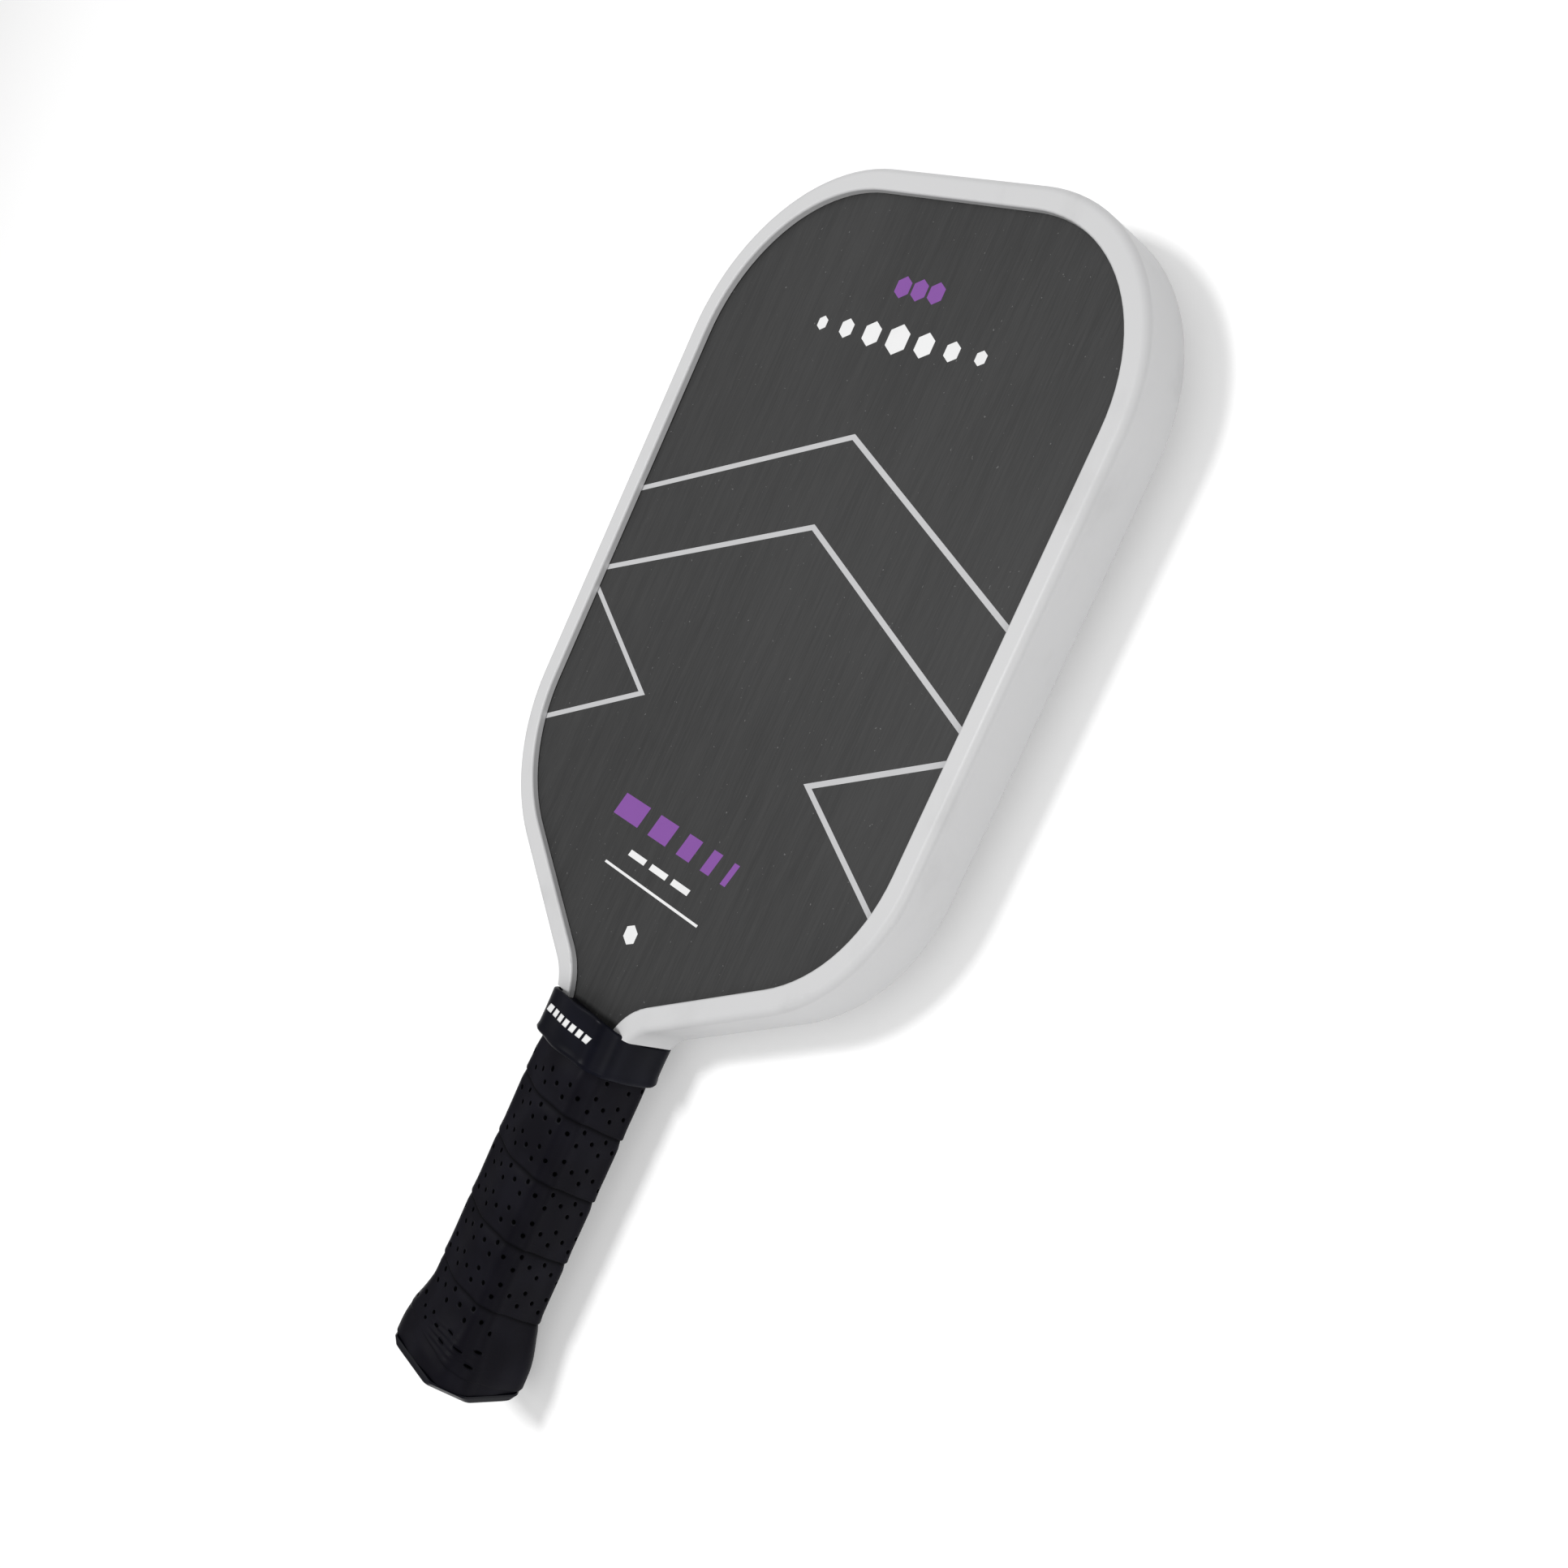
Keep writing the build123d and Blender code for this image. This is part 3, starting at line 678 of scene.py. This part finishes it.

        # nearness to the lapped edges, for the painted shade along them
        y_low, _ = self.edges(u / self.section.girth())
        y_top = self.climb(u / self.section.girth() + 0 * lines, 0 * u + lines)
        low_seam = np.exp(-(((y_top - y_low) / (0.7 * MM)) ** 2))
        next_low = y_low + self.pitch
        high_seam = smoothstep(1 - np.abs(next_low - y_top) / (1.6 * MM))
        seam = np.zeros((stations, n_ring))
        seam[:, :n_top] = np.clip(low_seam * 0.5 + high_seam, 0, 1)
        extra = np.zeros(len(points) - seam.size)
        give_attribute(piece, "seam", np.concatenate([seam.ravel(), extra]))
        # depth into each pit, for the painted shade in the pores
        pore = np.concatenate([np.zeros(seam.size), *[np.minimum(1.0, d * 6) for d in depths]])
        give_attribute(piece, "pore", pore)
        piece.data.materials.append(CushionTape().material())
        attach(piece, "paddle")
        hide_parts("grip_wrap")
        return piece


@dataclass
class GripCollar:
    """The rubber collar over the top of the grip, with a rounded rim and a slightly rolled, wavy lip."""

    section: HandleSection
    inside: float = 2.8 * MM
    wall: float = 1.3 * MM
    stations: int = 240
    smoothing: float = 0.008
    rim_line: tuple[tuple[float, float], ...] = (
        (0.02, -0.7), (0.10, -0.4), (0.15, 0.0), (0.20, 1.8), (0.24, 3.0), (0.29, 3.1), (0.36, 2.5),
        (0.45, 2.0), (0.49, 0.9), (0.53, -0.1), (0.66, -0.3), (0.71, 0.8), (0.77, 1.8), (0.87, 1.9),
        (0.93, 1.0), (0.97, -0.4),
    )
    lip_line: tuple[tuple[float, float], ...] = (
        (0.04, 14.6), (0.12, 14.2), (0.20, 13.5), (0.30, 13.6), (0.38, 14.0), (0.46, 13.4), (0.53, 13.9),
        (0.63, 14.2), (0.75, 13.5), (0.86, 14.1), (0.95, 13.8),
    )

    def profile(self) -> tuple[Array, Array]:
        """The wall's section as a closed ring: shares of the length from the rim, and heights.

        The outside runs from the rim to the lip, drawn in a little in the middle and out at the lip.
        Each end is a half circle of the wall's thickness, and the inside is straight.
        """
        down = np.linspace(0.06, 0.94, 19)
        outside = self.inside + self.wall - 0.12 * MM * np.sin(math.pi * down)
        outside += 0.28 * MM * np.exp(-(((down - 0.93) / 0.05) ** 2))
        turn = np.linspace(0, math.pi, 9)[1:-1]
        middle = self.inside + self.wall / 2
        lip = (0.955 + 0.045 * np.sin(turn), middle + self.wall / 2 * np.cos(turn))
        rim = (0.045 - 0.045 * np.sin(turn), middle - self.wall / 2 * np.cos(turn))
        up = np.linspace(0.94, 0.06, 7)
        shares = np.concatenate([down, lip[0], up, rim[0]])
        heights = np.concatenate([outside, lip[1], np.full(7, self.inside), rim[1]])
        return shares, heights

    def _round(self, around: Array, line: Sequence[tuple[float, float]]) -> Array:
        """A closed line through (part of a turn, millimetres), each value averaged with its neighbours."""
        turns, values = np.array(line).T
        steps = self.smoothing * np.arange(-2, 3)
        near = [np.interp(around + step, turns, values, period=1.0) for step in steps]
        return np.mean(near, 0) * MM

    def rim(self, around: Array) -> Array:
        """Height of the rim at a part of a turn: it stands up over the neck in front and at the back."""
        return self._round(around, self.rim_line)

    def depth(self, around: Array) -> Array:
        """How far below the collar's own origin its lip lies at a part of a turn."""
        return self._round(around, self.lip_line)

    def height(self, around: Array, share: Array) -> Array:
        """Height along the handle at a share of the way from the rim to the lip."""
        rim = self.rim(around)
        return rim - share * (rim + self.depth(around))

    def build(self) -> bpy.types.Object:
        """Makes the collar. It moves with the CAD body of that name."""
        shares, heights = self.profile()
        around = (np.arange(self.stations) / self.stations)[:, None]
        y = self.height(around, shares)
        points = self.section.point(around + 0 * y, heights + 0 * y, y).reshape(-1, 3)
        count = len(shares)
        quads = ring_quads(self.stations, count)
        closing = np.stack(
            [
                (self.stations - 1) * count + np.arange(count),
                (self.stations - 1) * count + (np.arange(count) + 1) % count,
                (np.arange(count) + 1) % count,
                np.arange(count),
            ],
            -1,
        )
        faces = np.concatenate([quads, closing])[:, ::-1]
        piece = make_piece("grip_collar_rubber", points, faces.tolist())
        piece.data.materials.append(RUBBER.material())
        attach(piece, "collar")
        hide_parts("grip_collar")
        return piece


# ---------------------------------------------------------------- print


@dataclass
class FacePrint:
    """Plain printed artwork on a face: thin chevron lines, slanted bars and small hexagons."""

    side: int
    surface: float
    film: float = 0.03 * MM
    line: float = 1.8 * MM
    slant: float = 0.30

    def _solid(self, outline: Array) -> tuple[Array, list[list[int]]]:
        """A flat film over an outline of points given anticlockwise as seen from the front."""
        count = len(outline)
        flat = np.column_stack([self.side * outline[:, 0], outline[:, 1]])
        low, high = self.surface, self.surface + self.side * self.film
        points = np.vstack([np.column_stack([flat, np.full(count, z)]) for z in (low, high)])
        walls = ring_quads(2, count).tolist()
        return points, [list(reversed(range(count))), list(range(count, 2 * count)), *walls]

    def _stroke(self, path: Sequence[tuple[float, float]]) -> Array:
        """The outline of a line of even width along an open path, mitred at its corners.

        At each point the offset is n w / (2 cos(a / 2)), where n halves the turn of a between two runs.
        """
        spine = np.array(path) * MM
        runs = np.diff(spine, axis=0)
        runs /= np.linalg.norm(runs, axis=1)[:, None]
        normals = np.column_stack([-runs[:, 1], runs[:, 0]])
        before = np.vstack([normals[:1], normals])
        after = np.vstack([normals, normals[-1:]])
        halved = before + after
        offset = halved / (halved * after).sum(1)[:, None] * self.line / 2
        return np.vstack([spine - offset, (spine + offset)[::-1]])

    def _bar(self, x: float, y: float, width: float, height: float) -> Array:
        """A slanted bar about a middle, with its sizes in millimetres."""
        lean = self.slant * height / 2
        half, tall = width / 2, height / 2
        return MM * np.array(
            [
                (x - half - lean, y - tall),
                (x + half - lean, y - tall),
                (x + half + lean, y + tall),
                (x - half + lean, y + tall),
            ]
        )

    def _hexagon(self, x: float, y: float, radius: float) -> Array:
        """A hexagon about a middle, with its sizes in millimetres."""
        angle = np.radians(60 * np.arange(6) + 30)
        return MM * np.column_stack([x + radius * np.cos(angle), y + radius * np.sin(angle)])

    def shapes(self) -> dict[Ink, list[Array]]:
        """The outlines of the artwork, by ink."""
        lines = [
            self._stroke([(-92, 82), (0, 121), (92, 82)]),
            self._stroke([(-92, 52), (0, 91), (92, 52)]),
            self._stroke([(-92, 46), (-44, 20), (-92, -6)]),
            self._stroke([(92, 46), (44, 20), (92, -6)]),
        ]
        violet = [self._hexagon(x, 169, 3.6) for x in (-7.4, 0, 7.4)]
        widths, edge = (14.0, 10.0, 7.0, 4.5, 2.5), -31.0
        for width in widths:
            violet.append(self._bar(edge + width / 2, -15, width, 8.0))
            edge += width + 6.0
        white = [self._hexagon(x, 153, 5.0 - abs(x) / 14) for x in (-36, -24, -12, 0, 12, 24, 36)]
        white += [self._bar(x, -27, 9.0, 2.2) for x in (-12, 0, 12)]
        white += [self._bar(0, -34, 52, 0.9), self._hexagon(0, -49, 3.4)]
        return {Ink.GREY: lines, Ink.VIOLET: violet, Ink.WHITE: white}

    def build(self) -> list[bpy.types.Object]:
        """Makes one piece for each ink."""
        made = []
        place = "front" if self.side > 0 else "back"
        for ink, outlines in self.shapes().items():
            points, faces, count = [], [], 0
            for outline in outlines:
                solid, its_faces = self._solid(outline)
                points.append(solid)
                faces += [[count + k for k in face] for face in its_faces]
                count += len(solid)
            piece = make_piece(f"{place}_{ink.value[0]}", np.vstack(points), faces, smooth=False)
            piece.data.materials.append(ink.material())
            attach(piece, "paddle")
            made.append(piece)
        return made


@dataclass
class CollarPrint:
    """A row of small slanted bars printed on the collar's front."""

    section: HandleSection
    collar: GripCollar
    bars: int = 7
    spacing: float = 3.5 * MM
    width: float = 2.3 * MM
    height: float = 2.6 * MM
    below: float = 4.6 * MM
    bar_points: int = 70
    film: float = 0.04 * MM

    def build(self) -> bpy.types.Object:
        """Makes the bars, each a small grid laid over the collar's outside and closed underneath."""
        lengths = self.section.lengths()
        middle = (lengths[:5].sum() + lengths[5] / 2) / lengths.sum()
        shares, heights = self.collar.profile()
        outer = slice(0, 19)
        points, faces = [], []
        across, up = np.meshgrid(np.linspace(-0.5, 0.5, 7), np.linspace(-0.5, 0.5, 5), indexing="ij")
        for bar in range(self.bars):
            place = (bar - (self.bars - 1) / 2) * self.spacing
            along = place + across * self.width + 0.3 * up * self.height
            y = -self.below + up * self.height
            turn = middle - along / self.section.girth()
            rim = self.collar.rim(turn)
            share = (rim - y) / (rim + self.collar.depth(turn))
            out = np.interp(share, shares[outer], heights[outer])
            for lift in (self.film, -self.film):
                points.append(self.section.point(turn, out + lift, y).reshape(-1, 3))
            faces += self._faces(bar * self.bar_points)
        piece = make_piece("collar_print_white", np.vstack(points), faces)
        piece.data.materials.append(Ink.WHITE.material())
        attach(piece, "collar")
        return piece

    def _faces(self, start: int) -> list[list[int]]:
        """Faces of one bar: an upper and a lower grid of seven by five, and the walls between them."""
        i, j = np.meshgrid(np.arange(6), np.arange(4), indexing="ij")
        a = i * 5 + j
        top = np.stack([a, a + 5, a + 6, a + 1], -1).reshape(-1, 4) + start
        low = top[:, ::-1] + 35
        rim = [*range(0, 30, 5), *range(30, 34), *range(34, 4, -5), *range(4, 0, -1)]
        walls = [
            [start + here, start + here + 35, start + after + 35, start + after]
            for here, after in zip(rim, rim[1:] + rim[:1])
        ]
        return [*top.tolist(), *low.tolist(), *walls]


# ---------------------------------------------------------------- the paddle and its studio


@dataclass
class Paddle:
    """The whole paddle: its CAD nodes with their finishes, and the pieces that stand for the soft ones."""

    section: HandleSection

    def dress(self) -> None:
        """Gives every CAD node that stays its own finish."""
        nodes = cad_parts
        carbon = CarbonFace().material()
        materials = {
            "front_face_sheet": carbon,
            "back_face_sheet": carbon,
            "edge_guard": GuardPlastic().material(),
        }
        for name, finish in CAD_FINISHES.items():
            materials[name] = finish.material()
        for name, material in materials.items():
            nodes[name].data.materials.clear()
            nodes[name].data.materials.append(material)
            LOG.info("%s dressed in %s", name, material.name)

    def build(self) -> None:
        """Dresses the frame and adds the grip, the collar and the print."""
        self.dress()
        GripWrap(self.section, Flare()).build()
        collar = GripCollar(self.section)
        collar.build()
        CollarPrint(self.section, collar).build()
        FacePrint(1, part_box("front_face_sheet")[1].z).build()
        FacePrint(-1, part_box("back_face_sheet")[0].z).build()


@dataclass(frozen=True)
class Studio:
    """A plain pale floor under soft light, and the camera."""

    camera_place: tuple[float, float, float] = (0.35996, 0.06013, 0.35130)
    camera_right: tuple[float, float, float] = (0.61567, 0.41184, -0.67182)
    camera_up: tuple[float, float, float] = (-0.35208, 0.90649, 0.23304)
    camera_back: tuple[float, float, float] = (0.70498, 0.09306, 0.70310)
    lens: float = 35.68
    floor_half: float = 6.0
    floor_grey: float = 0.90
    floor_glow: float = 0.27
    world_strength: float = 0.40
    lamps: tuple[tuple[str, tuple[float, float, float], float, float], ...] = (
        ("key", (-0.43, 0.09, 1.54), 0.28, 11.5),
        ("side", (1.5, -0.35, 0.85), 0.9, 8.5),
        ("sheen", (-1.0, 0.4, 1.0), 0.8, 1.0),
    )

    def camera(self) -> None:
        """Makes the camera at the viewing angle."""
        data = bpy.data.cameras.new("camera")
        data.lens, data.sensor_width = self.lens, 36.0
        data.clip_start, data.clip_end = 0.01, 50.0
        camera = bpy.data.objects.new("camera", data)
        turn = Matrix((self.camera_right, self.camera_up, self.camera_back)).transposed()
        camera.matrix_world = Matrix.Translation(self.camera_place) @ turn.to_4x4()
        bpy.context.scene.collection.objects.link(camera)
        bpy.context.scene.camera = camera

    def floor(self) -> None:
        """Makes the floor, white to the eye and in reflections, with the object's shadow on it."""
        half = self.floor_half
        points = np.array([(-half, -half, 0), (half, -half, 0), (half, half, 0), (-half, half, 0)])
        floor = make_piece("floor", points, [[0, 1, 2, 3]], smooth=False)
        shader = Shader("floor")
        path = shader.node("ShaderNodeLightPath", {}, {})
        seen = Value(shader, path.outputs["Is Camera Ray"]) + Value(shader, path.outputs["Is Glossy Ray"])
        seen = seen + Value(shader, path.outputs["Is Transmission Ray"])
        grey = (self.floor_grey,) * 3
        matt = shader.node("ShaderNodeBsdfDiffuse", {}, {"Color": (*grey, 1.0)})
        glowing = {"Color": (1.0, 1.0, 1.0, 1.0), "Strength": self.floor_glow}
        glow = shader.node("ShaderNodeEmission", {}, glowing)
        lit = shader.node("ShaderNodeAddShader", {}, {0: matt.outputs[0], 1: glow.outputs[0]})
        both = shader.node(
            "ShaderNodeMixShader", {}, {0: seen.ramp(0.0, 1.0), 1: matt.outputs[0], 2: lit.outputs[0]}
        )
        shader.node("ShaderNodeOutputMaterial", {}, {"Surface": both.outputs[0]})
        floor.data.materials.append(shader.material)

    def lamp(self, name: str, place: Sequence[float], size: float, power: float) -> None:
        """Makes a square lamp that faces the middle of the paddle."""
        data = bpy.data.lights.new(name, "AREA")
        data.shape, data.size, data.energy = "SQUARE", size, power
        lamp = bpy.data.objects.new(name, data)
        lamp.location = place
        lamp.rotation_mode = "QUATERNION"
        lamp.rotation_quaternion = (-Vector(place)).to_track_quat("-Z", "Y")
        bpy.context.scene.collection.objects.link(lamp)

    def light(self) -> None:
        """Lights the paddle from high on the left and low on the right, under an even pale world."""
        world = bpy.data.worlds.new("studio")
        world.use_nodes = True
        background = world.node_tree.nodes["Background"]
        background.inputs["Color"].default_value = (1.0, 1.0, 1.0, 1.0)
        background.inputs["Strength"].default_value = self.world_strength
        bpy.context.scene.world = world
        for name, place, size, power in self.lamps:
            self.lamp(name, place, size, power)

    def build(self) -> None:
        """Makes the camera, the floor and the light."""
        self.camera()
        self.floor()
        self.light()
        bpy.context.scene.view_settings.view_transform = "Standard"


def main() -> None:
    """Builds the studio and the paddle."""
    logging.basicConfig(level=logging.INFO, format="%(name)s: %(message)s")
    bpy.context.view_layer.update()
    Studio().build()
    Paddle(HandleSection()).build()


if __name__ == "__main__":
    main()
